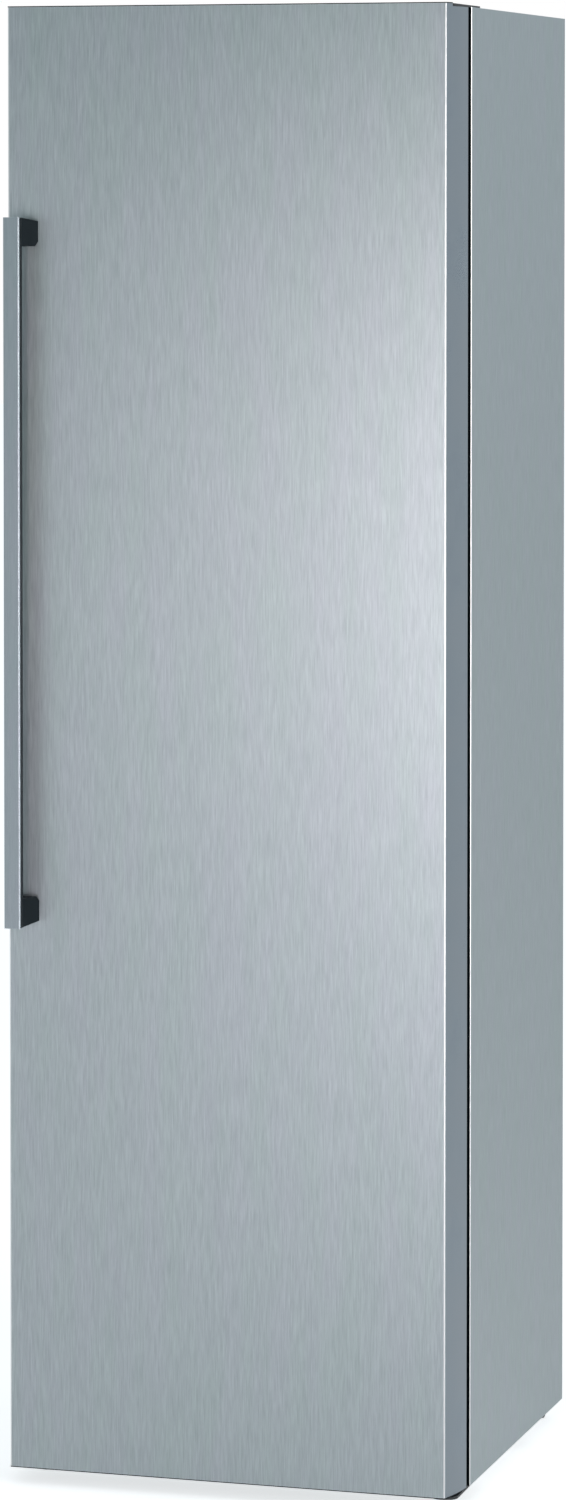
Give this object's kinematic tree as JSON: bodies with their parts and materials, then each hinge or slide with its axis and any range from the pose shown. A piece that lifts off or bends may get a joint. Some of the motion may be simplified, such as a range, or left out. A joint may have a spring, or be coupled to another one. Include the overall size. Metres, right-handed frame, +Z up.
{
  "type": "upright freezer",
  "caption": "Tall free-standing freezer with a right-hinged brushed steel door, a long bar handle, clear drawers and a condenser on the rear.",
  "frame": {"origin": "centre of the whole footprint, on the floor that the feet stand on", "axes": "+Z up, -Y towards the user in front of the door, +X towards the hinge side"},
  "size_m": [0.595, 0.645, 1.875],
  "materials": {
    "brushed_steel": "satin",
    "satin_trim": "satin",
    "dark_plastic": "matte",
    "handle_metal": "satin",
    "zinc_steel": "satin",
    "hinge_steel": "satin",
    "top_plastic": "matte",
    "white_liner": "satin",
    "foam": "matte",
    "shelf_glass": "gloss",
    "lamp_lens": "satin",
    "control_plastic": "satin",
    "display_pane": "gloss",
    "button_plastic": "satin",
    "fin_aluminium": "satin",
    "heater_metal": "satin",
    "fan_plastic": "matte",
    "black_enamel": "satin",
    "black_plastic": "matte",
    "copper": "satin",
    "black_rubber": "matte",
    "gasket_rubber": "matte",
    "bush_plastic": "satin",
    "clear_plastic": "gloss"
  },
  "bodies": {
    "cabinet": {"back_panel": "zinc_steel", "bottom_front_rail": "zinc_steel", "bottom_hinge": "hinge_steel", "bottom_pan": "zinc_steel", "cabinet_foam": "foam", "compressor": "black_enamel", "compressor_carrier": "zinc_steel", "compressor_feet": "black_rubber", "condenser_clips": "dark_plastic", "condenser_tube": "black_enamel", "condenser_wires": "black_enamel", "control_panel": "control_plastic", "defrost_heater": "heater_metal", "display_window": "display_pane", "drain_gutter": "white_liner", "evaporating_tray": "black_plastic", "evaporator_coil": "fin_aluminium", "evaporator_cover": "white_liner", "fan_motor": "fan_plastic", "filter_dryer": "copper", "glass_shelves": "shelf_glass", "hinge_screws": "hinge_steel", "inner_liner": "white_liner", "lamp_cover": "lamp_lens", "rear_spacers": "dark_plastic", "relay_box": "black_plastic", "roller_axles": "hinge_steel", "side_panel_left": "brushed_steel", "side_panel_right": "brushed_steel", "suction_pipe": "copper", "top_front_rail": "zinc_steel", "top_hinge": "hinge_steel", "top_panel": "top_plastic"},
    "door": {"door_front_panel": "brushed_steel", "door_trim_left": "satin_trim", "door_trim_right": "satin_trim", "door_top_cap": "dark_plastic", "door_bottom_cap": "dark_plastic", "door_foam": "foam", "door_inner_liner": "white_liner", "door_gasket": "gasket_rubber", "handle_bar": "handle_metal", "handle_core": "dark_plastic", "handle_brackets": "dark_plastic", "hinge_bushes": "bush_plastic"},
    "fan": {"evaporator_fan": "fan_plastic"},
    "left_foot": {"levelling_foot_left": "black_plastic"},
    "right_foot": {"levelling_foot_right": "black_plastic"},
    "left_roller": {"rear_roller_left": "black_plastic"},
    "right_roller": {"rear_roller_right": "black_plastic"},
    "power_button": {"power_button": "button_plastic"},
    "freeze_button": {"freeze_button": "button_plastic"},
    "temperature_button": {"temperature_button": "button_plastic"},
    "drawer_1": {"drawer_1": "clear_plastic"},
    "drawer_2": {"drawer_2": "clear_plastic"},
    "drawer_3": {"drawer_3": "clear_plastic"},
    "drawer_4": {"drawer_4": "clear_plastic"},
    "drawer_5": {"drawer_5": "clear_plastic"},
    "drawer_6": {"drawer_6": "clear_plastic"},
    "drawer_7": {"drawer_7": "clear_plastic"}
  },
  "joints": [
    {"name": "door_hinge", "type": "hinge", "parent": "cabinet", "child": "door", "pos_m": [0.2775, -0.2455, 0], "axis": [0, 0, 1], "range_deg": [0, 105]},
    {"name": "drawer_1_slide", "type": "slide", "parent": "cabinet", "child": "drawer_1", "axis": [0, -1, 0], "range_m": [0, 0.025]},
    {"name": "drawer_2_slide", "type": "slide", "parent": "cabinet", "child": "drawer_2", "axis": [0, -1, 0], "range_m": [0, 0.025]},
    {"name": "drawer_3_slide", "type": "slide", "parent": "cabinet", "child": "drawer_3", "axis": [0, -1, 0], "range_m": [0, 0.025]},
    {"name": "drawer_4_slide", "type": "slide", "parent": "cabinet", "child": "drawer_4", "axis": [0, -1, 0], "range_m": [0, 0.025]},
    {"name": "drawer_5_slide", "type": "slide", "parent": "cabinet", "child": "drawer_5", "axis": [0, -1, 0], "range_m": [0, 0.025]},
    {"name": "drawer_6_slide", "type": "slide", "parent": "cabinet", "child": "drawer_6", "axis": [0, -1, 0], "range_m": [0, 0.025]},
    {"name": "drawer_7_slide", "type": "slide", "parent": "cabinet", "child": "drawer_7", "axis": [0, -1, 0], "range_m": [0, 0.025]},
    {"name": "power_button_press", "type": "slide", "parent": "cabinet", "child": "power_button", "axis": [0, 1, 0], "range_m": [0, 0.0015], "stiffness_N_per_m": 800},
    {"name": "freeze_button_press", "type": "slide", "parent": "cabinet", "child": "freeze_button", "axis": [0, 1, 0], "range_m": [0, 0.0015], "stiffness_N_per_m": 800},
    {"name": "temperature_button_press", "type": "slide", "parent": "cabinet", "child": "temperature_button", "axis": [0, 1, 0], "range_m": [0, 0.0015], "stiffness_N_per_m": 800},
    {"name": "fan_spin", "type": "hinge", "parent": "cabinet", "child": "fan", "pos_m": [0, 0.19, 0.79], "axis": [0, 1, 0], "continuous": true},
    {"name": "left_foot_screw", "type": "slide", "parent": "cabinet", "child": "left_foot", "axis": [0, 0, -1], "range_m": [0, 0.015]},
    {"name": "right_foot_screw", "type": "slide", "parent": "cabinet", "child": "right_foot", "axis": [0, 0, -1], "range_m": [0, 0.015]},
    {"name": "left_roller_spin", "type": "hinge", "parent": "cabinet", "child": "left_roller", "pos_m": [-0.273, 0.26, 0.013], "axis": [1, 0, 0], "continuous": true},
    {"name": "right_roller_spin", "type": "hinge", "parent": "cabinet", "child": "right_roller", "pos_m": [0.273, 0.26, 0.013], "axis": [1, 0, 0], "continuous": true}
  ]
}
